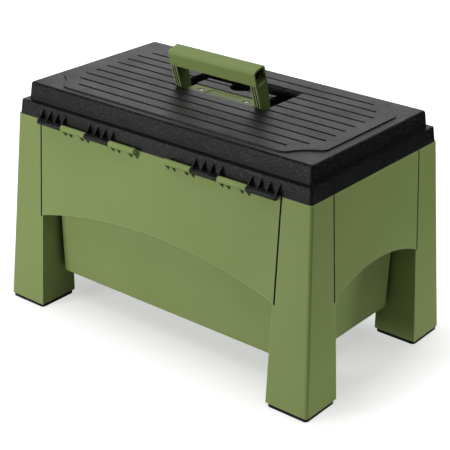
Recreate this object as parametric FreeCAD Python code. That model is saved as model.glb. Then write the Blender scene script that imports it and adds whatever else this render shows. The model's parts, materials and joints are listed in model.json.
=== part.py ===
import FreeCAD, Part
import math
import os

# Storage stool: a moulded bin on four hollow legs, a hinged step lid and a folding carry handle.
# Millimetres and degrees. X runs along the length, the hinges are on the -Y side, Z points up.
# The origin is on the floor, under the middle of the stool.

# Base: outer shell, measured at the rim where the lid rests
RIM_LENGTH = 454.9
RIM_WIDTH = 261.0
RIM_HEIGHT = 260.1
RIM_THICKNESS = 3.0
END_FLARE = 3.64
SIDE_FLARE = 3.42
SHELL_WALL = 3.0
SHELL_CORNER_RADIUS = 4.0

# Legs and the arched aprons between them
LEG_LENGTH_AT_RIM = 42.8
LEG_WIDTH_AT_RIM = 44.0
LEG_INNER_WALL = 3.0
SIDE_ARCH_TOP = 159.7
SIDE_ARCH_SPRING = 132.7
END_ARCH_TOP = 152.2
END_ARCH_SPRING = 132.7
ARCH_CORNER_RADIUS = 2.5
SLIT_WIDTH = 2.6
SLIT_OFFSET = 1.0
SLIT_DEPTH = 5.0
SLIT_FOOT = 130.2
SLIT_BACKING = 3.0

# Bin, with its gaps measured at the rim
BIN_END_GAP = 19.8
BIN_SIDE_GAP = 16.0
BIN_LEG_GAP = 2.0
BIN_UNDERSIDE = 44.4
BIN_DRAFT = 1.13
BIN_WALL = 3.0
BIN_CORNER_RADIUS = 4.0
BIN_EDGE_RADIUS = 4.0
BIN_LIP_HEIGHT = 5.6

# Foot caps
CAP_THICKNESS = 5.2
CAP_INSET = 1.0
CAP_CORNER_RADIUS = 5.0
CAP_COLLAR_HEIGHT = 10.0
CAP_COLLAR_WALL = 2.0
CAP_CLEARANCE = 0.2

# Lid: skirt, ledge, plateau and raised tread panel
LID_SEAT_GAP = 0.3
SKIRT_INSET = 1.1
SKIRT_HEIGHT = 18.4
SKIRT_TAPER = 1.8
SKIRT_EDGE_RADIUS = 1.8
LEDGE_END_WIDTH = 4.8
LEDGE_SIDE_WIDTH = 8.3
PLATEAU_HEIGHT = 21.4
PLATEAU_TAPER = 2.0
PLATEAU_CORNER_RADIUS = 5.5
PLATEAU_EDGE_RADIUS = 3.8
LID_WALL = 3.0
PANEL_RAISE = 1.5
PANEL_END_MARGIN = 13.8
PANEL_SIDE_MARGIN = 10.4
PANEL_EDGE_RADIUS = 0.8

# Panel corner, as distances back from the corner along each edge
OGEE_REACH = 42.0
OGEE_SHOULDER_LONG = 33.7
OGEE_SHOULDER_SHORT = 2.0
OGEE_TURN_LONG = 29.0
OGEE_TURN_SHORT = 7.8
OGEE_MIDDLE = 20.1

# Tread grooves
GROOVE_COUNT = 10
GROOVE_WIDTH = 3.8
GROOVE_DEPTH = 2.5
GROOVE_END_RADIUS = 1.5
GROOVE_SIDE_MARGIN = 18.7
GROOVE_END_MARGIN = 16.9
SECOND_GROOVE_END_MARGIN = 25.7
OUTER_GROOVE_END_MARGIN = 42.2

# Stiffening ribs under the lid
RIB_THICKNESS = 2.2
RIB_DEPTH = 12.0
CROSS_RIB_SPACING = 34.0
CROSS_RIBS_PER_END = 4
LONG_RIB_SPACING = 52.0

# Hinges
HINGE_CENTRE_DISTANCE = 103.8
HINGE_REACH = 5.9
HINGE_RISE = 0.6
KNUCKLES_PER_HINGE = 4
KNUCKLE_LENGTH = 39.9
KNUCKLE_GAP = 0.4
KNUCKLE_RADIUS = 3.9
KNUCKLE_WEB = 2.5
HINGE_PIN_RADIUS = 1.6
HINGE_PIN_SETBACK = 0.5
RUNNING_CLEARANCE = 0.06
GUSSET_THICKNESS = 1.6
LID_GUSSET_HEIGHT = 14.4
LID_GUSSETS_PER_KNUCKLE = 4
BASE_GUSSET_HEIGHT = 13.0
BASE_GUSSET_SPACING = 19.0

# Carry handle, given upright about its pivot
HANDLE_WIDTH = 133.0
HANDLE_LEG_THICKNESS = 8.9
HANDLE_DEPTH = 17.5
HANDLE_REACH = 62.5
HANDLE_LEAN = 16.0
GRIP_DEPTH = 21.6
GRIP_HEIGHT = 19.5
GRIP_WALL = 2.2
GRIP_CROWN_WIDTH = 3.2
GRIP_CROWN_HEIGHT = 5.0
GRIP_CROWN_SOFTNESS = 0.34
GRIP_BORE_RADIUS = 2.0
GRIP_END_RECESS = 6.5
GRIP_END_DROP = 2.7
GRIP_END_RADIUS = 5.5
HANDLE_CREVICE_WIDTH = 2.0
HANDLE_RIDGE = 1.7
HANDLE_CREVICE_DEPTH = 6.0
STUB_RADIUS = 4.0
STUB_LENGTH = 15.0

# Pocket that the handle folds into, and the island inside it
HANDLE_FLUSH_GAP = 0.25
HANDLE_STOP_GAP = 0.8
POCKET_SIDE_GAP = 6.0
POCKET_BACK_GAP = 4.5
POCKET_FLOOR_GAP = 0.75
POCKET_FLOOR = 3.0
POCKET_WALL = 2.5
ISLAND_SIDE_GAP = 4.9
ISLAND_BACK_GAP = 6.0
NOTCH_WIDTH = 30.0
NOTCH_DEPTH = 17.0

# Retainer plate and its screws
PLATE_WIDTH = 23.6
PLATE_THICKNESS = 3.0
PLATE_SINK = 1.5
PLATE_CLEARANCE = 0.3
PLATE_SEAT = 2.5
LABEL_RECESS_DEPTH = 0.9
LABEL_RECESS_MARGIN = 3.5
LABEL_TO_SCREW = 10.5
SCREW_TO_STUB = 7.0
SCREW_RADIUS = 1.75
SCREW_LENGTH = 11.0
SCREW_HEAD_RADIUS = 2.9
SCREW_HEAD_HEIGHT = 1.4
SCREW_SINK = 0.5
SCREW_DRIVE_WIDTH = 0.9
SCREW_DRIVE_DEPTH = 0.8
SCREW_CLEARANCE = 0.1
COUNTERBORE_CLEARANCE = 1.6

# Latches on the +Y side, modelled unlatched and hanging
LATCH_CENTRE_DISTANCE = 112.0
LATCH_WIDTH = 44.0
LATCH_REACH = 6.2
LATCH_PIVOT_HEIGHT = 10.0
LATCH_BARREL_RADIUS = 4.0
LATCH_PIN_RADIUS = 2.0
LATCH_PLATE = 3.0
LATCH_DROP = 41.0
LATCH_SWING = 7.0
LATCH_NOSE = 3.0
LATCH_NOSE_HEIGHT = 3.0
LATCH_TAB = 2.5
LATCH_EAR_WIDTH = 5.0
LATCH_EAR_GAP = 0.4
CATCH_HEIGHT = 3.2
CATCH_REACH = 3.2
CATCH_DROP = 17.5
CATCH_CLEARANCE = 0.4

# Overrun of cuts past a face, and how near two heights count as the same
OVERCUT = 1.0
SAME_HEIGHT = 0.001

# Worked-out places
RIM_HALF_X = RIM_LENGTH / 2
RIM_HALF_Y = RIM_WIDTH / 2
LEG_INNER_X = RIM_HALF_X - LEG_LENGTH_AT_RIM
LEG_INNER_Y = RIM_HALF_Y - LEG_WIDTH_AT_RIM
BIN_HALF_X = RIM_HALF_X - BIN_END_GAP
BIN_HALF_Y = RIM_HALF_Y - BIN_SIDE_GAP

SKIRT_FOOT = RIM_HEIGHT + LID_SEAT_GAP
LEDGE_HEIGHT = SKIRT_FOOT + SKIRT_HEIGHT
PLATEAU_TOP = LEDGE_HEIGHT + PLATEAU_HEIGHT
TREAD = PLATEAU_TOP + PANEL_RAISE
SKIRT_HALF_X = RIM_HALF_X - SKIRT_INSET
SKIRT_HALF_Y = RIM_HALF_Y - SKIRT_INSET
PLATEAU_HALF_X = SKIRT_HALF_X - SKIRT_TAPER - LEDGE_END_WIDTH
PLATEAU_HALF_Y = SKIRT_HALF_Y - SKIRT_TAPER - LEDGE_SIDE_WIDTH
PANEL_HALF_X = PLATEAU_HALF_X - PLATEAU_TAPER - PANEL_END_MARGIN
PANEL_HALF_Y = PLATEAU_HALF_Y - PLATEAU_TAPER - PANEL_SIDE_MARGIN
LID_CEILING = PLATEAU_TOP - LID_WALL

HINGE_Y = -RIM_HALF_Y - HINGE_REACH
HINGE_Z = RIM_HEIGHT + HINGE_RISE
HINGE_LENGTH = KNUCKLES_PER_HINGE * KNUCKLE_LENGTH + (KNUCKLES_PER_HINGE - 1) * KNUCKLE_GAP
KNUCKLE_BORE = HINGE_PIN_RADIUS + RUNNING_CLEARANCE

HANDLE_HALF = HANDLE_WIDTH / 2
HANDLE_INNER = HANDLE_HALF - HANDLE_LEG_THICKNESS
HEEL_RADIUS = HANDLE_DEPTH / 2
PIVOT_Z = TREAD - HANDLE_FLUSH_GAP - HEEL_RADIUS
STUB_END = HANDLE_INNER - STUB_LENGTH
GRIP_FOOT = HANDLE_REACH - GRIP_HEIGHT
GRIP_HALF = GRIP_DEPTH / 2
GRIP_SHOULDER = HANDLE_REACH - GRIP_CROWN_HEIGHT
HANDLE_FLARE = math.atan2(GRIP_HALF - HEEL_RADIUS, GRIP_FOOT)
FOLDED_DROP = GRIP_HALF * math.cos(HANDLE_FLARE) + HANDLE_REACH * math.sin(HANDLE_FLARE)

ISLAND_HALF = HANDLE_INNER - ISLAND_SIDE_GAP
ISLAND_BACK = GRIP_FOOT - ISLAND_BACK_GAP
POCKET_HALF = HANDLE_HALF + POCKET_SIDE_GAP
POCKET_BACK = HANDLE_REACH + POCKET_BACK_GAP
POCKET_BOTTOM = PIVOT_Z - FOLDED_DROP - POCKET_FLOOR_GAP
PLATE_TOP = TREAD - PLATE_SINK
PLATE_BOTTOM = PLATE_TOP - PLATE_THICKNESS
PLATE_HALF_X = ISLAND_HALF - PLATE_CLEARANCE
PLATE_RECESS = PLATE_WIDTH / 2 + PLATE_CLEARANCE
BEARING_RADIUS = STUB_RADIUS + RUNNING_CLEARANCE
BEARING_END = STUB_END - PLATE_CLEARANCE
SCREW_X = STUB_END - SCREW_TO_STUB
SCREW_TOP = PLATE_TOP - SCREW_SINK
SCREW_SEAT = SCREW_TOP - SCREW_HEAD_HEIGHT

LATCH_Z = SKIRT_FOOT + LATCH_PIVOT_HEIGHT
LATCH_Y = SKIRT_HALF_Y - SKIRT_TAPER * LATCH_PIVOT_HEIGHT / SKIRT_HEIGHT + LATCH_REACH
LATCH_BORE = LATCH_PIN_RADIUS + RUNNING_CLEARANCE
CATCH_TOP = RIM_HEIGHT - CATCH_DROP
CATCH_FOOT = CATCH_TOP - CATCH_HEIGHT

CORNERS = (("front_left", -1, -1), ("front_right", 1, -1), ("back_left", -1, 1), ("back_right", 1, 1))
SIDES = (("left", -1), ("right", 1))


def vector(x, y, z):
    return FreeCAD.Vector(x, y, z)


def slope(angle):
    return math.tan(math.radians(angle))


def block(x_range, y_range, z_range):
    size = [high - low for low, high in (x_range, y_range, z_range)]
    return Part.makeBox(*size, vector(x_range[0], y_range[0], z_range[0]))


def rod(radius, x_start, x_end, y, z):
    """Round bar along X."""
    return Part.makeCylinder(radius, x_end - x_start, vector(x_start, y, z), vector(1, 0, 0))


def post(radius, x, y, z_start, z_end):
    """Round bar along Z."""
    return Part.makeCylinder(radius, z_end - z_start, vector(x, y, z_start))


def plate_along_x(profile, x_start, x_end):
    """Flat plate between two X values, with a polygon of (y, z) points as its outline."""
    points = [vector(x_start, y, z) for y, z in profile]
    face = Part.Face(Part.makePolygon(points + points[:1]))
    return face.extrude(vector(x_end - x_start, 0, 0))


def rounded_outline(x_range, y_range, radius, z):
    """Closed rectangle with four round corners, lying at height z."""
    x_low, x_high = x_range[0] + radius, x_range[1] - radius
    y_low, y_high = y_range[0] + radius, y_range[1] - radius
    centres = ((x_high, y_high), (x_low, y_high), (x_low, y_low), (x_high, y_low))
    arcs = []
    for quarter, (x, y) in enumerate(centres):
        circle = Part.Circle(vector(x, y, z), vector(0, 0, 1), radius)
        start = quarter * math.pi / 2
        arcs.append(Part.Arc(circle, start, start + math.pi / 2).toShape())
    edges = []
    for arc, following in zip(arcs, arcs[1:] + arcs[:1]):
        edges.append(arc)
        edges.append(Part.makeLine(arc.lastVertex().Point, following.firstVertex().Point))
    return Part.Wire(edges)


def centred_outline(half_x, half_y, radius, z):
    return rounded_outline((-half_x, half_x), (-half_y, half_y), radius, z)


def tapered_block(lower, upper):
    """Solid between two outlines at different heights."""
    return Part.makeLoft([lower, upper], True, True)


def edges_at_height(shape, z):
    return [edge for edge in shape.Edges if all(abs(v.Z - z) < SAME_HEIGHT for v in edge.Vertexes)]


def round_edges_at(shape, z, radius):
    return shape.makeFillet(radius, edges_at_height(shape, z))


def united(shapes):
    return shapes[0].multiFuse(shapes[1:]).removeSplitter()


def mirrored_x(shape):
    return shape.mirror(vector(0, 0, 0), vector(1, 0, 0))


def both_ends(shape):
    return [shape, mirrored_x(shape)]


# Base

def shell_half_x(z):
    return RIM_HALF_X + (RIM_HEIGHT - z) * slope(END_FLARE)


def shell_half_y(z):
    return RIM_HALF_Y + (RIM_HEIGHT - z) * slope(SIDE_FLARE)


def drawn_in(radius, inset):
    """Corner radius of a form that is drawn in by an inset on every side."""
    return radius - min(inset, radius / 2)


def shell_solid(inset, z_low, z_high):
    """The flared outer form of the base, drawn in by an inset on every side."""
    radius = drawn_in(SHELL_CORNER_RADIUS, inset)
    outlines = []
    for z in (z_low, z_high):
        outlines.append(centred_outline(shell_half_x(z) - inset, shell_half_y(z) - inset, radius, z))
    return tapered_block(*outlines)


def drafted_box(half_x, half_y, inset, z_low, z_high):
    """Box that narrows downwards from its size at the rim, rounded at the bottom."""
    radius = drawn_in(BIN_CORNER_RADIUS, inset)
    outlines = []
    for z in (z_low, z_high):
        draft = (RIM_HEIGHT - z) * slope(BIN_DRAFT) + inset
        outlines.append(centred_outline(half_x - draft, half_y - draft, radius, z))
    return round_edges_at(tapered_block(*outlines), z_low, drawn_in(BIN_EDGE_RADIUS, inset))


def bin_solid(inset, z_low, z_high):
    """The form of the bin: a long and a wide box that cross, so that the legs stand in its corners."""
    long_box = drafted_box(BIN_HALF_X, LEG_INNER_Y - BIN_LEG_GAP, inset, z_low, z_high)
    wide_box = drafted_box(LEG_INNER_X - BIN_LEG_GAP, BIN_HALF_Y, inset, z_low, z_high)
    return united([long_box, wide_box])


def arch_cut(half_span, top, spring, half_depth):
    """Arched opening along Y: straight sides, and an arc that rises to its top in the middle."""
    left_foot = vector(-half_span, -half_depth, -OVERCUT)
    left_spring = vector(-half_span, -half_depth, spring)
    crown = vector(0, -half_depth, top)
    right_spring = vector(half_span, -half_depth, spring)
    right_foot = vector(half_span, -half_depth, -OVERCUT)
    edges = [
        Part.makeLine(left_foot, left_spring),
        Part.Arc(left_spring, crown, right_spring).toShape(),
        Part.makeLine(right_spring, right_foot),
        Part.makeLine(right_foot, left_foot),
    ]
    opening = Part.Face(Part.Wire(edges)).extrude(vector(0, 2 * half_depth, 0))
    return round_edges_at(opening, spring, ARCH_CORNER_RADIUS)


def end_arch_cut(half_span, top, spring, half_depth):
    opening = arch_cut(half_span, top, spring, half_depth)
    return opening.rotate(vector(0, 0, 0), vector(0, 0, 1), 90)


def leg(x_sign, y_sign):
    """Inner corner of one hollow leg, with the thicker strips that back its two slits."""
    far = RIM_LENGTH
    outer = shell_solid(OVERCUT, CAP_THICKNESS, RIM_HEIGHT - OVERCUT)
    walls = block((LEG_INNER_X, far), (LEG_INNER_Y, far), (0, RIM_HEIGHT))
    hollow_x = LEG_INNER_X + LEG_INNER_WALL
    hollow_y = LEG_INNER_Y + LEG_INNER_WALL
    walls = walls.cut(block((hollow_x, far), (hollow_y, far), (-OVERCUT, RIM_HEIGHT + OVERCUT)))
    strip = SLIT_OFFSET + SLIT_WIDTH + SLIT_BACKING
    z_range = (SLIT_FOOT - SLIT_BACKING, RIM_HEIGHT)
    side_strip = block((LEG_INNER_X, LEG_INNER_X + strip), (LEG_INNER_Y, far), z_range)
    end_strip = block((LEG_INNER_X, far), (LEG_INNER_Y, LEG_INNER_Y + strip), z_range)
    core = shell_solid(SLIT_DEPTH + SLIT_BACKING, 0, RIM_HEIGHT + OVERCUT)
    strips = side_strip.fuse(end_strip).cut(core)
    corner = walls.fuse(strips).common(outer)
    if x_sign < 0:
        corner = mirrored_x(corner)
    if y_sign < 0:
        corner = corner.mirror(vector(0, 0, 0), vector(0, 1, 0))
    return corner


def slits():
    """Narrow slits that part each leg from the aprons beside it."""
    far = RIM_LENGTH
    z_range = (SLIT_FOOT, RIM_HEIGHT + OVERCUT)
    slabs = []
    for _, sign in SIDES:
        x_pair = sorted(sign * (LEG_INNER_X + SLIT_OFFSET + step) for step in (0, SLIT_WIDTH))
        y_pair = sorted(sign * (LEG_INNER_Y + SLIT_OFFSET + step) for step in (0, SLIT_WIDTH))
        slabs.append(block(x_pair, (-far, far), z_range))
        slabs.append(block((-far, far), y_pair, z_range))
    core = shell_solid(SLIT_DEPTH, 0, RIM_HEIGHT + 2 * OVERCUT)
    return [slab.cut(core) for slab in slabs]


def knuckle_spans(first):
    """X ranges of every second knuckle of the right-hand hinge, counted from its inner end."""
    start = HINGE_CENTRE_DISTANCE - HINGE_LENGTH / 2
    step = KNUCKLE_LENGTH + KNUCKLE_GAP
    starts = [start + index * step for index in range(first, KNUCKLES_PER_HINGE, 2)]
    return [(x, x + KNUCKLE_LENGTH) for x in starts]


def lid_gusset_starts(span):
    """Even places for the thin gussets along one lid knuckle."""
    step = (KNUCKLE_LENGTH - GUSSET_THICKNESS) / (LID_GUSSETS_PER_KNUCKLE - 1)
    return [span[0] + step * index for index in range(LID_GUSSETS_PER_KNUCKLE)]


def base_gusset_starts(span):
    """A gusset at each end of a base knuckle, and a pair about its middle."""
    first = span[0]
    last = span[1] - GUSSET_THICKNESS
    middle = (first + last) / 2
    return [first, middle - BASE_GUSSET_SPACING / 2, middle + BASE_GUSSET_SPACING / 2, last]


def knuckle(span, web, gusset, gusset_starts):
    """Barrel of one knuckle with the web and gussets that carry it, bored for the hinge pin."""
    pieces = [rod(KNUCKLE_RADIUS, *span, HINGE_Y, HINGE_Z), plate_along_x(web, *span)]
    for x in gusset_starts:
        pieces.append(plate_along_x(gusset, x, x + GUSSET_THICKNESS))
    solid = united(pieces)
    return solid.cut(rod(KNUCKLE_BORE, span[0] - OVERCUT, span[1] + OVERCUT, HINGE_Y, HINGE_Z))


def base_knuckle(span):
    wall = -RIM_HALF_Y + OVERCUT
    top = RIM_HEIGHT
    front = HINGE_Y - KNUCKLE_RADIUS / 2
    web = ((HINGE_Y, top), (HINGE_Y, top - KNUCKLE_WEB), (wall, top - KNUCKLE_WEB), (wall, top))
    gusset = ((front, top), (front, top - KNUCKLE_WEB), (wall, top - BASE_GUSSET_HEIGHT), (wall, top))
    return knuckle(span, web, gusset, base_gusset_starts(span))


def lid_knuckle(span):
    wall = -SKIRT_HALF_Y + SKIRT_TAPER
    foot = SKIRT_FOOT + LID_SEAT_GAP
    front = HINGE_Y - KNUCKLE_RADIUS / 2
    web = ((HINGE_Y, foot), (wall, foot), (wall, foot + KNUCKLE_WEB), (HINGE_Y, foot + KNUCKLE_WEB))
    gusset = ((front, foot), (wall, foot), (wall, foot + LID_GUSSET_HEIGHT), (front, foot + KNUCKLE_WEB))
    return knuckle(span, web, gusset, lid_gusset_starts(span))


def latch_catch():
    """Rib on the back apron that the nose of the right-hand latch hooks under."""
    x_low = LATCH_CENTRE_DISTANCE - LATCH_WIDTH / 2
    wall = shell_half_y(CATCH_TOP) - OVERCUT
    face = shell_half_y(CATCH_TOP) + CATCH_REACH
    profile = (
        (wall, CATCH_TOP),
        (wall, CATCH_FOOT),
        (face, CATCH_FOOT),
        (face, CATCH_TOP - CATCH_HEIGHT / 2),
    )
    return plate_along_x(profile, x_low, x_low + LATCH_WIDTH)


def base_body():
    half_reach = RIM_LENGTH
    shell = shell_solid(0, CAP_THICKNESS, RIM_HEIGHT)
    shell = shell.cut(shell_solid(SHELL_WALL, 0, RIM_HEIGHT - RIM_THICKNESS))
    shell = shell.cut(arch_cut(LEG_INNER_X, SIDE_ARCH_TOP, SIDE_ARCH_SPRING, half_reach))
    shell = shell.cut(end_arch_cut(LEG_INNER_Y, END_ARCH_TOP, END_ARCH_SPRING, half_reach))
    lip_top = RIM_HEIGHT + BIN_LIP_HEIGHT
    tub = bin_solid(0, BIN_UNDERSIDE, lip_top)
    legs = [leg(x_sign, y_sign) for _, x_sign, y_sign in CORNERS]
    body = united([shell, tub] + legs)
    body = body.cut(bin_solid(BIN_WALL, BIN_UNDERSIDE + BIN_WALL, lip_top + OVERCUT))
    body = body.cut(slits())
    knuckles = [base_knuckle(span) for span in knuckle_spans(0)]
    for addition in knuckles + [latch_catch()]:
        body = body.multiFuse(both_ends(addition))
    return body.removeSplitter()


def hinge_pin(sign):
    start = HINGE_CENTRE_DISTANCE - HINGE_LENGTH / 2 + HINGE_PIN_SETBACK
    end = start + HINGE_LENGTH - 2 * HINGE_PIN_SETBACK
    pin = rod(HINGE_PIN_RADIUS, start, end, HINGE_Y, HINGE_Z)
    return pin if sign > 0 else mirrored_x(pin)


def foot_cap(x_sign, y_sign):
    """Pad under one leg, with a collar that plugs into the hollow of the leg."""
    x_pad = (LEG_INNER_X + CAP_INSET, shell_half_x(CAP_THICKNESS) - CAP_INSET)
    y_pad = (LEG_INNER_Y + CAP_INSET, shell_half_y(CAP_THICKNESS) - CAP_INSET)
    lower = rounded_outline(x_pad, y_pad, CAP_CORNER_RADIUS, 0)
    pad = Part.Face(lower).extrude(vector(0, 0, CAP_THICKNESS))
    top = CAP_THICKNESS + CAP_COLLAR_HEIGHT
    inner = LEG_INNER_WALL + CAP_CLEARANCE
    outer = SHELL_WALL + CAP_CLEARANCE
    x_plug = (LEG_INNER_X + inner, shell_half_x(top) - outer)
    y_plug = (LEG_INNER_Y + inner, shell_half_y(top) - outer)
    plug = Part.Face(rounded_outline(x_plug, y_plug, CAP_CORNER_RADIUS, CAP_THICKNESS))
    plug = plug.extrude(vector(0, 0, CAP_COLLAR_HEIGHT))
    x_core = (x_plug[0] + CAP_COLLAR_WALL, x_plug[1] - CAP_COLLAR_WALL)
    y_core = (y_plug[0] + CAP_COLLAR_WALL, y_plug[1] - CAP_COLLAR_WALL)
    core_radius = drawn_in(CAP_CORNER_RADIUS, CAP_COLLAR_WALL)
    core = Part.Face(rounded_outline(x_core, y_core, core_radius, CAP_THICKNESS))
    plug = plug.cut(core.extrude(vector(0, 0, top)))
    cap = united([pad, plug])
    if x_sign < 0:
        cap = mirrored_x(cap)
    if y_sign < 0:
        cap = cap.mirror(vector(0, 0, 0), vector(0, 1, 0))
    return cap


# Lid

def skirt_solid(inset, z_low, z_high):
    outlines = []
    for z in (z_low, z_high):
        taper = SKIRT_TAPER * (z - SKIRT_FOOT) / SKIRT_HEIGHT + inset
        radius = drawn_in(SHELL_CORNER_RADIUS, inset)
        outlines.append(centred_outline(SKIRT_HALF_X - taper, SKIRT_HALF_Y - taper, radius, z))
    return tapered_block(*outlines)


def plateau_solid(inset, z_low, z_high):
    outlines = []
    for z in (z_low, z_high):
        taper = PLATEAU_TAPER * (z - LEDGE_HEIGHT) / PLATEAU_HEIGHT + inset
        radius = drawn_in(PLATEAU_CORNER_RADIUS, inset)
        outlines.append(centred_outline(PLATEAU_HALF_X - taper, PLATEAU_HALF_Y - taper, radius, z))
    return tapered_block(*outlines)


def panel_corner(x_sign, y_sign):
    """Points of one scooped panel corner, from its long edge to its end edge."""
    back = (
        (OGEE_REACH, 0),
        (OGEE_SHOULDER_LONG, OGEE_SHOULDER_SHORT),
        (OGEE_TURN_LONG, OGEE_TURN_SHORT),
        (OGEE_MIDDLE, OGEE_MIDDLE),
        (OGEE_TURN_SHORT, OGEE_TURN_LONG),
        (OGEE_SHOULDER_SHORT, OGEE_SHOULDER_LONG),
        (0, OGEE_REACH),
    )
    foot = PLATEAU_TOP - OVERCUT
    return [vector(x_sign * (PANEL_HALF_X - x), y_sign * (PANEL_HALF_Y - y), foot) for x, y in back]


def tread_panel():
    """Raised panel with straight sides, and at each corner a scoop between two rounded shoulders."""
    corners = [
        panel_corner(1, -1),
        panel_corner(1, 1)[::-1],
        panel_corner(-1, 1),
        panel_corner(-1, -1)[::-1],
    ]
    edges = []
    for points, following in zip(corners, corners[1:] + corners[:1]):
        for start in (0, 2, 4):
            edges.append(Part.Arc(*points[start:start + 3]).toShape())
        edges.append(Part.makeLine(points[-1], following[0]))
    panel = Part.Face(Part.Wire(edges)).extrude(vector(0, 0, TREAD - PLATEAU_TOP + OVERCUT))
    return round_edges_at(panel, TREAD, PANEL_EDGE_RADIUS)


def tread_grooves():
    """Long narrow grooves along the tread, with round ends and the outer ones shorter."""
    pitch = 2 * (PANEL_HALF_Y - GROOVE_SIDE_MARGIN) / (GROOVE_COUNT - 1)
    margins = {0: OUTER_GROOVE_END_MARGIN, 1: SECOND_GROOVE_END_MARGIN}
    grooves = []
    for index in range(GROOVE_COUNT):
        from_edge = min(index, GROOVE_COUNT - 1 - index)
        half_x = PANEL_HALF_X - margins.get(from_edge, GROOVE_END_MARGIN)
        y = (index - (GROOVE_COUNT - 1) / 2) * pitch
        half_y = GROOVE_WIDTH / 2
        floor = TREAD - GROOVE_DEPTH
        y_range = (y - half_y, y + half_y)
        outline = rounded_outline((-half_x, half_x), y_range, GROOVE_END_RADIUS, floor)
        grooves.append(Part.Face(outline).extrude(vector(0, 0, GROOVE_DEPTH + OVERCUT)))
    return grooves


def lid_ribs():
    """Grid of ribs under the tread on both sides of the handle pocket."""
    z_range = (LID_CEILING - RIB_DEPTH, LID_CEILING + OVERCUT)
    half = RIB_THICKNESS / 2
    start = POCKET_HALF + POCKET_WALL + CROSS_RIB_SPACING / 2
    end = PLATEAU_HALF_X
    ribs = []
    for index in range(CROSS_RIBS_PER_END):
        x = start + index * CROSS_RIB_SPACING
        ribs.extend(both_ends(block((x - half, x + half), (-PLATEAU_HALF_Y, PLATEAU_HALF_Y), z_range)))
    for y in (-LONG_RIB_SPACING, 0, LONG_RIB_SPACING):
        ribs.extend(both_ends(block((POCKET_HALF, end), (y - half, y + half), z_range)))
    core = plateau_solid(LID_WALL / 2, LEDGE_HEIGHT - LID_WALL, PLATEAU_TOP)
    return [rib.common(core) for rib in ribs]


def handle_stop_y():
    """Where the front of the leaning handle legs crosses the tread, with the gap at their stop."""
    lean = math.radians(HANDLE_LEAN) + HANDLE_FLARE
    front = HEEL_RADIUS * math.cos(HANDLE_FLARE)
    return -front / math.cos(lean) - (TREAD - PIVOT_Z) * math.tan(lean) - HANDLE_STOP_GAP


def pocket_block():
    """Box under the tread that encloses the handle pocket."""
    x = POCKET_HALF + POCKET_WALL
    y_range = (handle_stop_y() - POCKET_WALL, POCKET_BACK + POCKET_WALL)
    return block((-x, x), y_range, (POCKET_BOTTOM - POCKET_FLOOR, LID_CEILING + OVERCUT))


def finger_notch(grow, z_range):
    """Half-oval bay in the back of the island, where fingers reach the folded grip."""
    bay = post(NOTCH_WIDTH / 2 + grow, 0, 0, *z_range)
    squash = FreeCAD.Matrix()
    squash.scale(1, (NOTCH_DEPTH + grow) / (NOTCH_WIDTH / 2 + grow), 1)
    bay = bay.transformGeometry(squash)
    bay.translate(vector(0, ISLAND_BACK, 0))
    return bay


def pocket_cut():
    """U-shaped trench for the handle legs and grip, round the island."""
    z_range = (POCKET_BOTTOM, TREAD + OVERCUT)
    front = handle_stop_y()
    trench = block((-POCKET_HALF, POCKET_HALF), (front, POCKET_BACK), z_range)
    island = block((-ISLAND_HALF, ISLAND_HALF), (front - OVERCUT, ISLAND_BACK), z_range)
    return trench.cut(island).fuse(finger_notch(0, z_range))


def island_hollows():
    """Cavities that open the island from below, on both sides of the finger notch."""
    z_low = POCKET_BOTTOM - POCKET_FLOOR - OVERCUT
    y_range = (PLATE_RECESS + POCKET_WALL, ISLAND_BACK - POCKET_WALL)
    x_range = (-ISLAND_HALF + POCKET_WALL, ISLAND_HALF - POCKET_WALL)
    z_range = (z_low, LID_CEILING)
    behind_plate = block(x_range, y_range, z_range).cut(finger_notch(POCKET_WALL, z_range))
    middle = SCREW_X - SCREW_HEAD_RADIUS - POCKET_WALL
    half_y = PLATE_RECESS - POCKET_WALL
    under_plate = block((-middle, middle), (-half_y, half_y), (z_low, PLATE_BOTTOM - PLATE_SEAT))
    return [behind_plate, under_plate]


def bearing_slot(x_start, x_end, z_top):
    """Upright slot with a round bottom that a handle stub drops into."""
    slot = block((x_start, x_end), (-BEARING_RADIUS, BEARING_RADIUS), (PIVOT_Z, z_top))
    return slot.fuse(rod(BEARING_RADIUS, x_start, x_end, 0, PIVOT_Z))


def plate_seat_cuts():
    """Recess for the retainer plate, bearing slots for the stubs and pilot holes for the screws."""
    cuts = [block((-ISLAND_HALF - OVERCUT, ISLAND_HALF + OVERCUT), (-PLATE_RECESS, PLATE_RECESS),
                  (PLATE_BOTTOM, TREAD + OVERCUT))]
    cuts.extend(both_ends(bearing_slot(BEARING_END, ISLAND_HALF + OVERCUT, PLATE_BOTTOM + OVERCUT)))
    pilot_end = SCREW_SEAT - SCREW_LENGTH - SCREW_CLEARANCE
    pilot = post(SCREW_RADIUS + SCREW_CLEARANCE, SCREW_X, 0, pilot_end, TREAD)
    cuts.extend(both_ends(pilot))
    return cuts


def latch_ears():
    """Two ears on the back of the skirt that hold the pin of the right-hand latch."""
    ears = []
    wall = SKIRT_HALF_Y - SKIRT_TAPER - OVERCUT
    for side in (-1, 1):
        inner = LATCH_CENTRE_DISTANCE + side * (LATCH_WIDTH / 2 + LATCH_EAR_GAP)
        x_start, x_end = sorted((inner, inner + side * LATCH_EAR_WIDTH))
        ear = rod(LATCH_BARREL_RADIUS, x_start, x_end, LATCH_Y, LATCH_Z)
        z_range = (LATCH_Z - LATCH_BARREL_RADIUS, LATCH_Z + LATCH_BARREL_RADIUS)
        ear = ear.fuse(block((x_start, x_end), (wall, LATCH_Y), z_range))
        ears.append(ear.cut(rod(LATCH_BORE, x_start - OVERCUT, x_end + OVERCUT, LATCH_Y, LATCH_Z)))
    return ears


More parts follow.
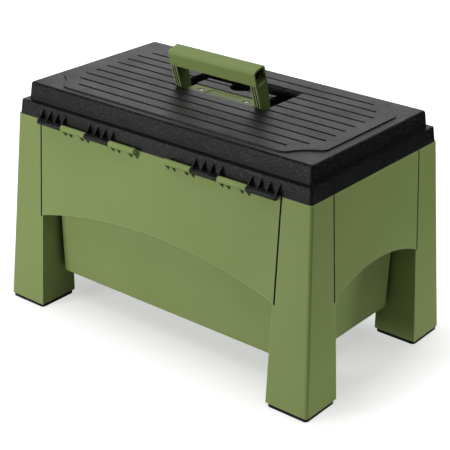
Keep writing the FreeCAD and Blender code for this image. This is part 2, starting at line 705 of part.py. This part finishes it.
def lid():
    skirt = round_edges_at(skirt_solid(0, SKIRT_FOOT, LEDGE_HEIGHT), LEDGE_HEIGHT, SKIRT_EDGE_RADIUS)
    plateau = plateau_solid(0, SKIRT_FOOT + LID_WALL, PLATEAU_TOP)
    plateau = round_edges_at(plateau, PLATEAU_TOP, PLATEAU_EDGE_RADIUS)
    body = united([skirt, plateau, tread_panel()])
    ceiling = LEDGE_HEIGHT - LID_WALL
    body = body.cut(skirt_solid(LID_WALL, SKIRT_FOOT - OVERCUT, ceiling))
    body = body.cut(plateau_solid(LID_WALL, ceiling - OVERCUT, LID_CEILING))
    body = united([body, pocket_block()] + lid_ribs())
    body = body.cut([pocket_cut()] + island_hollows() + plate_seat_cuts())
    body = body.cut(tread_grooves())
    for span in knuckle_spans(1):
        body = body.multiFuse(both_ends(lid_knuckle(span)))
    for ear in latch_ears():
        body = body.multiFuse(both_ends(ear))
    return body.removeSplitter()


# Handle and its retainer plate

def bar_along_x(x_range, half_y, z_range, radius):
    """Bar along X with a rounded rectangle as its section."""
    middle = sum(z_range) / 2
    half_z = (z_range[1] - z_range[0]) / 2
    outline = centred_outline(half_z, half_y, radius, x_range[0])
    bar = Part.Face(outline).extrude(vector(0, 0, x_range[1] - x_range[0]))
    bar.rotate(vector(0, 0, 0), vector(0, 1, 0), 90)
    bar.translate(vector(0, 0, middle))
    return bar


def grip():
    """Solid grip with a flat foot, upright sides and a softly crowned top."""
    shoulder = GRIP_HALF - GRIP_CROWN_WIDTH
    bulge_y = GRIP_HALF - GRIP_CROWN_WIDTH * GRIP_CROWN_SOFTNESS
    bulge_z = HANDLE_REACH - GRIP_CROWN_HEIGHT * GRIP_CROWN_SOFTNESS
    side = [(GRIP_HALF, GRIP_FOOT), (GRIP_HALF, GRIP_SHOULDER)]
    right = side + [(bulge_y, bulge_z), (shoulder, HANDLE_REACH)]
    left = [(-y, z) for y, z in right[::-1]]
    points = [vector(-HANDLE_HALF, y, z) for y, z in right + left]
    edges = [
        Part.makeLine(points[0], points[1]),
        Part.Arc(points[1], points[2], points[3]).toShape(),
        Part.makeLine(points[3], points[4]),
        Part.Arc(points[4], points[5], points[6]).toShape(),
        Part.makeLine(points[6], points[7]),
        Part.makeLine(points[7], points[0]),
    ]
    return Part.Face(Part.Wire(edges)).extrude(vector(HANDLE_WIDTH, 0, 0))


def grip_end_recess():
    """Mouth of the hollow grip at the right-hand end, with a deep round bottom in the leg."""
    x_range = (HANDLE_HALF - GRIP_END_RECESS, HANDLE_HALF + OVERCUT)
    half_y = GRIP_HALF - GRIP_WALL
    top = HANDLE_REACH - GRIP_WALL
    middle = GRIP_FOOT + GRIP_HEIGHT / 2
    lower = bar_along_x(x_range, half_y, (GRIP_FOOT - GRIP_END_DROP, top), GRIP_END_RADIUS)
    upper = bar_along_x(x_range, half_y, (middle, top), GRIP_BORE_RADIUS)
    return lower.fuse(upper)


def handle_leg():
    """Right-hand handle leg: round heel, stub axle on its inside and two crevices down its front."""
    heel = rod(HEEL_RADIUS, HANDLE_INNER, HANDLE_HALF, 0, 0)
    right = [(HEEL_RADIUS, 0), (GRIP_HALF, GRIP_FOOT), (GRIP_HALF, GRIP_SHOULDER)]
    left = [(-y, z) for y, z in right[::-1]]
    shank = plate_along_x(right + left, HANDLE_INNER, HANDLE_HALF)
    stub = rod(STUB_RADIUS, STUB_END, HANDLE_INNER + OVERCUT, 0, 0)
    body = united([heel, shank, stub])
    floor = -HEEL_RADIUS + HANDLE_CREVICE_DEPTH
    for edge in (HANDLE_INNER + HANDLE_RIDGE, HANDLE_HALF - HANDLE_RIDGE - HANDLE_CREVICE_WIDTH):
        x_range = (edge, edge + HANDLE_CREVICE_WIDTH)
        body = body.cut(block(x_range, (-GRIP_DEPTH, floor), (-HANDLE_DEPTH, GRIP_FOOT)))
    return body


def handle_at_rest(shape):
    """Lean an upright handle on its stop and set it on its pivot."""
    shape.rotate(vector(0, 0, 0), vector(1, 0, 0), HANDLE_LEAN)
    shape.translate(vector(0, 0, PIVOT_Z))
    return shape


def handle():
    bore_z = (GRIP_FOOT + GRIP_WALL, HANDLE_REACH - GRIP_WALL)
    bore = bar_along_x((-HANDLE_HALF, HANDLE_HALF), GRIP_HALF - GRIP_WALL, bore_z, GRIP_BORE_RADIUS)
    body = united([grip()] + both_ends(handle_leg()))
    body = body.cut([bore] + both_ends(grip_end_recess()))
    return handle_at_rest(body.removeSplitter())


def handle_retainer_plate():
    half_y = PLATE_WIDTH / 2
    plate = block((-PLATE_HALF_X, PLATE_HALF_X), (-half_y, half_y), (PLATE_BOTTOM, PLATE_TOP))
    tongue = bearing_slot(BEARING_END + PLATE_CLEARANCE, PLATE_HALF_X, PLATE_BOTTOM + OVERCUT)
    slim = BEARING_RADIUS - RUNNING_CLEARANCE
    keep = block((0, PLATE_HALF_X), (-slim, slim), (PIVOT_Z, PLATE_TOP))
    tongue = tongue.common(keep).cut(rod(BEARING_RADIUS, 0, PLATE_HALF_X, 0, PIVOT_Z))
    plate = united([plate] + both_ends(tongue))
    label_half = SCREW_X - LABEL_TO_SCREW
    label_y = half_y - LABEL_RECESS_MARGIN
    label_z = (PLATE_TOP - LABEL_RECESS_DEPTH, PLATE_TOP + OVERCUT)
    plate = plate.cut(block((-label_half, label_half), (-label_y, label_y), label_z))
    hole = post(SCREW_RADIUS + SCREW_CLEARANCE, SCREW_X, 0, PIVOT_Z, PLATE_TOP)
    bore = post(SCREW_HEAD_RADIUS + COUNTERBORE_CLEARANCE, SCREW_X, 0, SCREW_SEAT, PLATE_TOP + OVERCUT)
    return plate.cut(both_ends(hole) + both_ends(bore)).removeSplitter()


def retainer_screw(sign):
    """Pan-head screw with a crossed drive."""
    x = sign * SCREW_X
    shank = post(SCREW_RADIUS, x, 0, SCREW_SEAT - SCREW_LENGTH, SCREW_SEAT)
    head = post(SCREW_HEAD_RADIUS, x, 0, SCREW_SEAT, SCREW_TOP)
    head = round_edges_at(head, SCREW_TOP, SCREW_HEAD_HEIGHT / 2)
    screw = united([shank, head])
    half = SCREW_DRIVE_WIDTH / 2
    arm = SCREW_RADIUS
    z_range = (SCREW_TOP - SCREW_DRIVE_DEPTH, SCREW_TOP + OVERCUT)
    cross = block((x - arm, x + arm), (-half, half), z_range)
    cross = cross.fuse(block((x - half, x + half), (-arm, arm), z_range))
    return screw.cut(cross)


# Latches

def latch(sign):
    """Barrel, plate and nose of one latch, swung out just clear of its catch."""
    x_low = LATCH_CENTRE_DISTANCE - LATCH_WIDTH / 2
    x_high = x_low + LATCH_WIDTH
    inner = shell_half_y(CATCH_TOP) + CATCH_REACH + CATCH_CLEARANCE
    outer = inner + LATCH_PLATE
    foot = LATCH_Z - LATCH_DROP
    nose_top = CATCH_FOOT - CATCH_CLEARANCE
    nose_foot = nose_top - LATCH_NOSE_HEIGHT
    profile = (
        (outer, LATCH_Z),
        (inner, LATCH_Z),
        (inner, nose_top),
        (inner - LATCH_NOSE, nose_top),
        (inner, nose_foot),
        (inner, foot),
        (outer + LATCH_TAB, foot),
        (outer + LATCH_TAB, foot + LATCH_PLATE),
        (outer, foot + LATCH_PLATE + LATCH_TAB),
    )
    barrel = rod(LATCH_BARREL_RADIUS, x_low, x_high, LATCH_Y, LATCH_Z)
    bore = rod(LATCH_BORE, x_low - OVERCUT, x_high + OVERCUT, LATCH_Y, LATCH_Z)
    body = united([barrel, plate_along_x(profile, x_low, x_high)]).cut(bore)
    body.rotate(vector(0, LATCH_Y, LATCH_Z), vector(1, 0, 0), LATCH_SWING)
    return body if sign > 0 else mirrored_x(body)


def latch_pin(sign):
    reach = LATCH_WIDTH / 2 + LATCH_EAR_GAP + LATCH_EAR_WIDTH
    x_range = (LATCH_CENTRE_DISTANCE - reach, LATCH_CENTRE_DISTANCE + reach)
    pin = rod(LATCH_PIN_RADIUS, *x_range, LATCH_Y, LATCH_Z)
    return pin if sign > 0 else mirrored_x(pin)


def all_parts():
    parts = {
        "base_body": base_body(),
        "lid": lid(),
        "handle": handle(),
        "handle_retainer_plate": handle_retainer_plate(),
    }
    for name, x_sign, y_sign in CORNERS:
        parts["foot_cap_" + name] = foot_cap(x_sign, y_sign)
    for name, sign in SIDES:
        parts["hinge_pin_" + name] = hinge_pin(sign)
        parts["retainer_screw_" + name] = retainer_screw(sign)
        parts["latch_" + name] = latch(sign)
        parts["latch_pin_" + name] = latch_pin(sign)
    return parts


os.makedirs("parts", exist_ok=True)
for node, shape in all_parts().items():
    shape.exportStep("parts/" + node + ".step")
    print(node, len(shape.Solids), shape.isValid(), round(shape.Volume))
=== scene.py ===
import json
import math

import bpy
from mathutils import Matrix, Vector


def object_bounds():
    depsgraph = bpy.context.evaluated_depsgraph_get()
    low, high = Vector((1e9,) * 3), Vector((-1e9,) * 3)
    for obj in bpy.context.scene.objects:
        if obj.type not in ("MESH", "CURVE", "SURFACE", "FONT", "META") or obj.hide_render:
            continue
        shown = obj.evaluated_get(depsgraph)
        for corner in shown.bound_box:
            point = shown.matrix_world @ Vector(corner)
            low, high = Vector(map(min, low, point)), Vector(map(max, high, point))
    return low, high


# Looks of the storage stool: finishes for every piece, softened edges, a pale floor, soft light and
# the camera. Metres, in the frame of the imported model.

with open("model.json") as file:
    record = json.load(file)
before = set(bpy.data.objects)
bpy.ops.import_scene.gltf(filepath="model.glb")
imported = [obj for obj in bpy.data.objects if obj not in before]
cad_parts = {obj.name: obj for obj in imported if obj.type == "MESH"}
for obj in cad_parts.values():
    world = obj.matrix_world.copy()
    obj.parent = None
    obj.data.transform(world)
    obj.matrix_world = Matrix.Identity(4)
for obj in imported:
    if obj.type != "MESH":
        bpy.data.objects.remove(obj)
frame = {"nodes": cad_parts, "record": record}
cad_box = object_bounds()

# Camera, at the photograph's view
CAMERA_PLACE = Vector((0.94170, -1.17351, 0.81794))
CAMERA_TARGET = Vector((0.03867, -0.04211, 0.15164))
CAMERA_ROLL = math.radians(0.788)
IMAGE_SIDE = 450
FOCAL_PIXELS = 1291.86
SENSOR_WIDTH = 36.0

# Floor, with a painted shadow round the stool, and the cards under it
FLOOR_HALF = 8.0
FLOOR_COLOUR = 0.55
# The floor's own glow, weaker near the stool as a painted shadow
GLOW_IN_PAINTED_SHADOW = 0.50
GLOW_FAR = 1.0
GLOW_REACH = 0.20
SHADOW_HALF = (0.24, 0.07, 0.0)
SHADOW_FADE = (1.7, 1.0, 1.0)
BOUNCE_X = (-1.0, 0.50)
BOUNCE_Y = (-1.0, 0.42)
BOUNCE_DROP = 0.001
BOUNCE_COLOUR = 0.60
SHADE_DROP = 0.003
CARD_ROUGHNESS = 0.9

# Sky, brighter upwards between two heights of view
SKY_SPAN = (-0.6, 0.6)
SKY_LOW = 0.01
SKY_HIGH = 0.08

# Soft lights: place, width, height and power in watts
LIGHT_TARGET = Vector((0.0, 0.0, 0.15))
OVERHEAD = ((0.0, 0.0, 3.0), 3.5, 3.5, 60.0)
KEY = ((-1.05, -2.25, 0.60), 0.7, 0.7, 13.5)
FRONT = ((-0.55, -1.50, 0.40), 0.6, 0.5, 9.0)
SIDE = ((1.00, 2.16, -0.55), 0.5, 0.4, 44.0)
FILL = ((2.42, 0.35, -0.45), 0.5, 0.4, 7.5)
SHEEN = ((-1.8, 2.3, 1.4), 2.2, 2.2, 20.0)

# Finish colours, and tints painted in as highlights, glints and shade
GREEN = (0.236, 0.308, 0.100)
GREEN_LIGHT = (0.256, 0.330, 0.112)
# Pale tints painted on outer edges as highlights
GREEN_EDGE_HIGHLIGHT = (0.400, 0.460, 0.260)
# Dark tint painted into narrow gaps as shade
GREEN_PAINTED_SHADE = (0.040, 0.058, 0.010)
BLACK = (0.0030, 0.0028, 0.0028)
# Pale specks painted in as glints of the pebbled surface
BLACK_GLINT_FLECK = (0.0460, 0.0450, 0.0450)
BLACK_EDGE_HIGHLIGHT = (0.090, 0.088, 0.088)
RUBBER = (0.006, 0.006, 0.006)
RUBBER_LIGHT = (0.012, 0.012, 0.012)
STEEL = (0.60, 0.60, 0.62)
STEEL_LIGHT = (0.70, 0.70, 0.72)

# Patterns of the finishes, in repeats per metre
GREEN_CLOUD = 9.0
GREEN_GRAIN = 900.0
BLACK_PEBBLE = 520.0
BLACK_SMUDGE = 22.0
RUBBER_GRAIN = 600.0
STEEL_GRAIN = 1500.0

# Where in a pattern's grey range one colour gives way to the other
CLOUD_SPAN = (0.3, 0.7)
# Span of the pebble pattern that is painted as glint specks
GLINT_FLECK_SPAN = (0.54, 0.66)
RUBBER_SPAN = (0.35, 0.7)
STEEL_SPAN = (0.3, 0.7)

# Roughness, from the darkest to the lightest part of a pattern
GREEN_ROUGHNESS = (0.40, 0.58)
BLACK_ROUGHNESS = (0.34, 0.58)
RUBBER_ROUGHNESS = (0.70, 0.90)
STEEL_ROUGHNESS = (0.20, 0.38)

# Gloss of the plastics
GREEN_GLOSS = 0.28
BLACK_GLOSS = 0.50

# Bump: height in metres and strength
GREEN_BUMP = (0.0003, 0.4)
BLACK_BUMP = (0.0009, 0.8)
RUBBER_BUMP = (0.0003, 0.4)
STEEL_BUMP = (0.00005, 0.3)

# Painted highlights on outer edges, and painted shade in narrow gaps
EDGE_HIGHLIGHT_RADIUS = 0.0014
EDGE_HIGHLIGHT_TURN = (0.995, 0.90)
EDGE_HIGHLIGHT_SPREAD = (0.5, 1.0)
# Painted shade: reach and openness of the darkening in gaps
GAP_SHADE_REACH = 0.018
GAP_SHADE_OPENNESS = (0.56, 0.20)
MASK_SAMPLES = 8

# Softened edges
EDGE_ANGLE = math.radians(35)
EDGE_SEGMENTS = 2
EDGE_WIDTHS = {
    "green_plastic": 0.0005,
    "black_plastic": 0.0005,
    "black_rubber": 0.0006,
    "steel": 0.0002,
}
WELD_REACH = 0.00001
FLAT_ANGLE = math.radians(0.5)


def new_material(name):
    """Empty material with one shader, and its node tree."""
    material = bpy.data.materials.new(name)
    material.use_nodes = True
    tree = material.node_tree
    shader = tree.nodes["Principled BSDF"]
    return material, tree, shader


def noise(tree, scale, detail, roughness=0.5):
    """Noise laid in the piece's own frame, in repeats per metre."""
    place = tree.nodes.new("ShaderNodeTexCoord")
    pattern = tree.nodes.new("ShaderNodeTexNoise")
    pattern.inputs["Scale"].default_value = scale
    pattern.inputs["Detail"].default_value = detail
    pattern.inputs["Roughness"].default_value = roughness
    tree.links.new(place.outputs["Object"], pattern.inputs["Vector"])
    return pattern.outputs["Fac"]


def ramp(tree, source, span, colours):
    """Two colours spread over a range of a grey value."""
    node = tree.nodes.new("ShaderNodeValToRGB")
    for element, place, colour in zip(node.color_ramp.elements, span, colours):
        element.position = place
        element.color = (*colour, 1.0)
    tree.links.new(source, node.inputs["Fac"])
    return node.outputs["Color"]


def spread(tree, source, span):
    """A grey value spread between two numbers."""
    node = tree.nodes.new("ShaderNodeMapRange")
    node.inputs["To Min"].default_value = span[0]
    node.inputs["To Max"].default_value = span[1]
    tree.links.new(source, node.inputs["Value"])
    return node.outputs["Result"]


def grain(tree, shader, source, bump):
    """Bump of a given height, in metres, and strength."""
    height, strength = bump
    node = tree.nodes.new("ShaderNodeBump")
    node.inputs["Strength"].default_value = strength
    node.inputs["Distance"].default_value = height
    tree.links.new(source, node.inputs["Height"])
    tree.links.new(node.outputs["Normal"], shader.inputs["Normal"])


def remap(tree, source, span):
    """A grey value stretched so that the span's first end becomes 0 and its second end 1."""
    node = tree.nodes.new("ShaderNodeMapRange")
    node.inputs["From Min"].default_value = span[0]
    node.inputs["From Max"].default_value = span[1]
    tree.links.new(source, node.inputs["Value"])
    return node.outputs["Result"]


def times(tree, first, second):
    """Product of two grey values."""
    node = tree.nodes.new("ShaderNodeMath")
    node.operation = "MULTIPLY"
    tree.links.new(first, node.inputs[0])
    tree.links.new(second, node.inputs[1])
    return node.outputs["Value"]


def edge_highlight_mask(tree):
    """1 on outer edges, where highlights are painted, 0 on flat faces."""
    rounded = tree.nodes.new("ShaderNodeBevel")
    rounded.samples = MASK_SAMPLES
    rounded.inputs["Radius"].default_value = EDGE_HIGHLIGHT_RADIUS
    surface = tree.nodes.new("ShaderNodeNewGeometry")
    turn = tree.nodes.new("ShaderNodeVectorMath")
    turn.operation = "DOT_PRODUCT"
    tree.links.new(rounded.outputs["Normal"], turn.inputs[0])
    tree.links.new(surface.outputs["Normal"], turn.inputs[1])
    return remap(tree, turn.outputs["Value"], EDGE_HIGHLIGHT_TURN)


def painted_gap_shade_mask(tree):
    """1 deep inside narrow gaps, where shade is painted, 0 on open faces."""
    node = tree.nodes.new("ShaderNodeAmbientOcclusion")
    node.samples = MASK_SAMPLES
    node.only_local = True
    node.inputs["Distance"].default_value = GAP_SHADE_REACH
    return remap(tree, node.outputs["AO"], GAP_SHADE_OPENNESS)


def blend(tree, mask, colour, tint):
    """A colour that gives way to a tint where the mask is 1."""
    node = tree.nodes.new("ShaderNodeMix")
    node.data_type = "RGBA"
    tree.links.new(mask, node.inputs["Factor"])
    tree.links.new(colour, node.inputs["A"])
    node.inputs["B"].default_value = (*tint, 1.0)
    return node.outputs["Result"]


def green_plastic():
    """Satin green, a little cloudy, with painted highlights on edges and painted shade in narrow gaps."""
    material, tree, shader = new_material("green_plastic")
    cloud = noise(tree, GREEN_CLOUD, 4.0)
    fine = noise(tree, GREEN_GRAIN, 3.0)
    colour = ramp(tree, cloud, CLOUD_SPAN, (GREEN, GREEN_LIGHT))
    # Painted highlight: paler colour on outer edges
    edge_highlight = times(tree, edge_highlight_mask(tree), spread(tree, cloud, EDGE_HIGHLIGHT_SPREAD))
    colour = blend(tree, edge_highlight, colour, GREEN_EDGE_HIGHLIGHT)
    # Painted shade: darker colour deep in narrow gaps
    colour = blend(tree, painted_gap_shade_mask(tree), colour, GREEN_PAINTED_SHADE)
    tree.links.new(colour, shader.inputs["Base Color"])
    tree.links.new(spread(tree, fine, GREEN_ROUGHNESS), shader.inputs["Roughness"])
    shader.inputs["Specular IOR Level"].default_value = GREEN_GLOSS
    grain(tree, shader, fine, GREEN_BUMP)
    return material


def black_plastic():
    """Pebbled black with pale specks painted in as glints, smudged gloss and painted highlights on edges.
    """
    material, tree, shader = new_material("black_plastic")
    pebble = noise(tree, BLACK_PEBBLE, 2.0, 0.6)
    smudge = noise(tree, BLACK_SMUDGE, 4.0, 0.6)
    # Painted glints: pale specks where the pebble pattern is high
    colour = ramp(tree, pebble, GLINT_FLECK_SPAN, (BLACK, BLACK_GLINT_FLECK))
    # Painted highlight: paler colour on outer edges, patchy with the smudge
    colour = blend(tree, times(tree, edge_highlight_mask(tree), smudge), colour, BLACK_EDGE_HIGHLIGHT)
    tree.links.new(colour, shader.inputs["Base Color"])
    tree.links.new(spread(tree, smudge, BLACK_ROUGHNESS), shader.inputs["Roughness"])
    shader.inputs["Specular IOR Level"].default_value = BLACK_GLOSS
    grain(tree, shader, pebble, BLACK_BUMP)
    return material


def black_rubber():
    """Dull black with a fine grain."""
    material, tree, shader = new_material("black_rubber")
    fine = noise(tree, RUBBER_GRAIN, 3.0)
    colour = ramp(tree, fine, RUBBER_SPAN, (RUBBER, RUBBER_LIGHT))
    tree.links.new(colour, shader.inputs["Base Color"])
    tree.links.new(spread(tree, fine, RUBBER_ROUGHNESS), shader.inputs["Roughness"])
    grain(tree, shader, fine, RUBBER_BUMP)
    return material


def steel():
    """Plated steel with a very fine grain."""
    material, tree, shader = new_material("steel")
    fine = noise(tree, STEEL_GRAIN, 2.0)
    colour = ramp(tree, fine, STEEL_SPAN, (STEEL, STEEL_LIGHT))
    tree.links.new(colour, shader.inputs["Base Color"])
    shader.inputs["Metallic"].default_value = 1.0
    tree.links.new(spread(tree, fine, STEEL_ROUGHNESS), shader.inputs["Roughness"])
    grain(tree, shader, fine, STEEL_BUMP)
    return material


MATERIALS = {
    "green_plastic": green_plastic(),
    "black_plastic": black_plastic(),
    "black_rubber": black_rubber(),
    "steel": steel(),
}


def dress(node, slot):
    """Give a CAD node its finish and softened edges."""
    piece = frame["nodes"][node]
    piece.data.materials.clear()
    piece.data.materials.append(MATERIALS[slot])
    weld = piece.modifiers.new("weld", "WELD")
    weld.merge_threshold = WELD_REACH
    flats = piece.modifiers.new("flats", "DECIMATE")
    flats.decimate_type = "DISSOLVE"
    flats.angle_limit = FLAT_ANGLE
    soft = piece.modifiers.new("soft_edges", "BEVEL")
    soft.width = EDGE_WIDTHS[slot]
    soft.segments = EDGE_SEGMENTS
    soft.limit_method = "ANGLE"
    soft.angle_limit = EDGE_ANGLE
    soft.use_clamp_overlap = True
    soft.harden_normals = False


for entry in frame["record"]["subparts"]:
    dress(entry["node"], entry["material_slot"])


def stage_plane(name, x_range, y_range, height):
    """Flat rectangle that is scenery and not part of the stool, with its shader."""
    corners = [(x_range[i], y_range[j], height) for i, j in ((0, 0), (1, 0), (1, 1), (0, 1))]
    mesh = bpy.data.meshes.new(name)
    mesh.from_pydata(corners, [], [(0, 1, 2, 3)])
    material, _, shader = new_material(name)
    mesh.materials.append(material)
    plane = bpy.data.objects.new(name, mesh)
    bpy.context.scene.collection.objects.link(plane)
    shader.inputs["Roughness"].default_value = CARD_ROUGHNESS
    shader.inputs["Specular IOR Level"].default_value = 0.0
    return plane, shader


def vector_step(tree, source, operation, value):
    """One step of vector sums, with an optional second vector."""
    node = tree.nodes.new("ShaderNodeVectorMath")
    node.operation = operation
    tree.links.new(source, node.inputs[0])
    if value:
        node.inputs[1].default_value = value
    return node


def link_glow_and_painted_shadow(tree, shader):
    """Light of the floor's own, weak near the stool and growing away from it: a painted shadow round its
    footprint.
    """
    place = tree.nodes.new("ShaderNodeTexCoord").outputs["Object"]
    steps = (
        ("ABSOLUTE", None),
        ("SUBTRACT", SHADOW_HALF),
        ("MAXIMUM", (0.0, 0.0, 0.0)),
        ("MULTIPLY", SHADOW_FADE),
    )
    for operation, value in steps:
        place = vector_step(tree, place, operation, value).outputs["Vector"]
    away = vector_step(tree, place, "LENGTH", None).outputs["Value"]
    glow = tree.nodes.new("ShaderNodeMapRange")
    glow.inputs["From Max"].default_value = GLOW_REACH
    glow.inputs["To Min"].default_value = GLOW_IN_PAINTED_SHADOW
    glow.inputs["To Max"].default_value = GLOW_FAR
    tree.links.new(away, glow.inputs["Value"])
    tree.links.new(glow.outputs["Result"], shader.inputs["Emission Strength"])


def floor():
    """Pale floor for the eye, shaded by the stool and with a painted shadow in its glow, a card below that
    sends light back up, and one that shades the underside.
    """
    span = (-FLOOR_HALF, FLOOR_HALF)
    plane, shader = stage_plane("floor", span, span, 0.0)
    shader.inputs["Base Color"].default_value = (FLOOR_COLOUR, FLOOR_COLOUR, FLOOR_COLOUR, 1.0)
    shader.inputs["Emission Color"].default_value = (1.0, 1.0, 1.0, 1.0)
    link_glow_and_painted_shadow(plane.data.materials[0].node_tree, shader)
    plane.visible_diffuse = False
    plane.visible_glossy = False
    plane.visible_shadow = False
    card, shader = stage_plane("bounce_card", BOUNCE_X, BOUNCE_Y, -BOUNCE_DROP)
    shader.inputs["Base Color"].default_value = (BOUNCE_COLOUR, BOUNCE_COLOUR, BOUNCE_COLOUR, 1.0)
    card.visible_camera = False
    card.visible_shadow = False
    half_x, half_y = cad_box[1][0], cad_box[1][1]
    shade, _ = stage_plane("shade_card", (-half_x, half_x), (-half_y, half_y), -SHADE_DROP)
    shade.visible_camera = False
    shade.visible_diffuse = False
    shade.visible_glossy = False


def soft_light(name, settings):
    """Rectangular soft light that faces the stool."""
    place, width, height, power = settings
    data = bpy.data.lights.new(name, "AREA")
    data.shape = "RECTANGLE"
    data.size = width
    data.size_y = height
    data.energy = power
    light = bpy.data.objects.new(name, data)
    light.location = place
    light.rotation_euler = (LIGHT_TARGET - Vector(place)).to_track_quat("-Z", "Y").to_euler()
    bpy.context.scene.collection.objects.link(light)
    return light


def sky():
    """Dim white surroundings, a little brighter towards the top."""
    world = bpy.data.worlds.new("studio")
    world.use_nodes = True
    tree = world.node_tree
    direction = tree.nodes.new("ShaderNodeTexCoord")
    split = tree.nodes.new("ShaderNodeSeparateXYZ")
    height = tree.nodes.new("ShaderNodeMapRange")
    height.inputs["From Min"].default_value = SKY_SPAN[0]
    height.inputs["From Max"].default_value = SKY_SPAN[1]
    height.inputs["To Min"].default_value = SKY_LOW
    height.inputs["To Max"].default_value = SKY_HIGH
    tree.links.new(direction.outputs["Generated"], split.inputs["Vector"])
    tree.links.new(split.outputs["Z"], height.inputs["Value"])
    tree.links.new(height.outputs["Result"], tree.nodes["Background"].inputs["Strength"])
    tree.nodes["Background"].inputs["Color"].default_value = (1.0, 1.0, 1.0, 1.0)
    bpy.context.scene.world = world


def lights():
    """The key shows in gloss and in colour, the sheen only in gloss, and the others only in colour."""
    colour_only = {"overhead": OVERHEAD, "front": FRONT, "side": SIDE, "fill": FILL}
    for name, settings in colour_only.items():
        light = soft_light(name, settings)
        light.visible_glossy = False
    soft_light("key", KEY)
    sheen = soft_light("sheen", SHEEN)
    sheen.visible_diffuse = False


def camera():
    """Camera at the photograph's place, turned to its target and rolled a little."""
    data = bpy.data.cameras.new("camera")
    data.sensor_width = SENSOR_WIDTH
    data.lens = FOCAL_PIXELS * SENSOR_WIDTH / IMAGE_SIDE
    view = bpy.data.objects.new("camera", data)
    turn = (CAMERA_TARGET - CAMERA_PLACE).to_track_quat("-Z", "Y").to_matrix().to_4x4()
    view.matrix_world = Matrix.Translation(CAMERA_PLACE) @ turn @ Matrix.Rotation(CAMERA_ROLL, 4, "Z")
    bpy.context.scene.collection.objects.link(view)
    bpy.context.scene.camera = view


floor()
sky()
lights()
camera()
bpy.context.scene.view_settings.view_transform = "Standard"
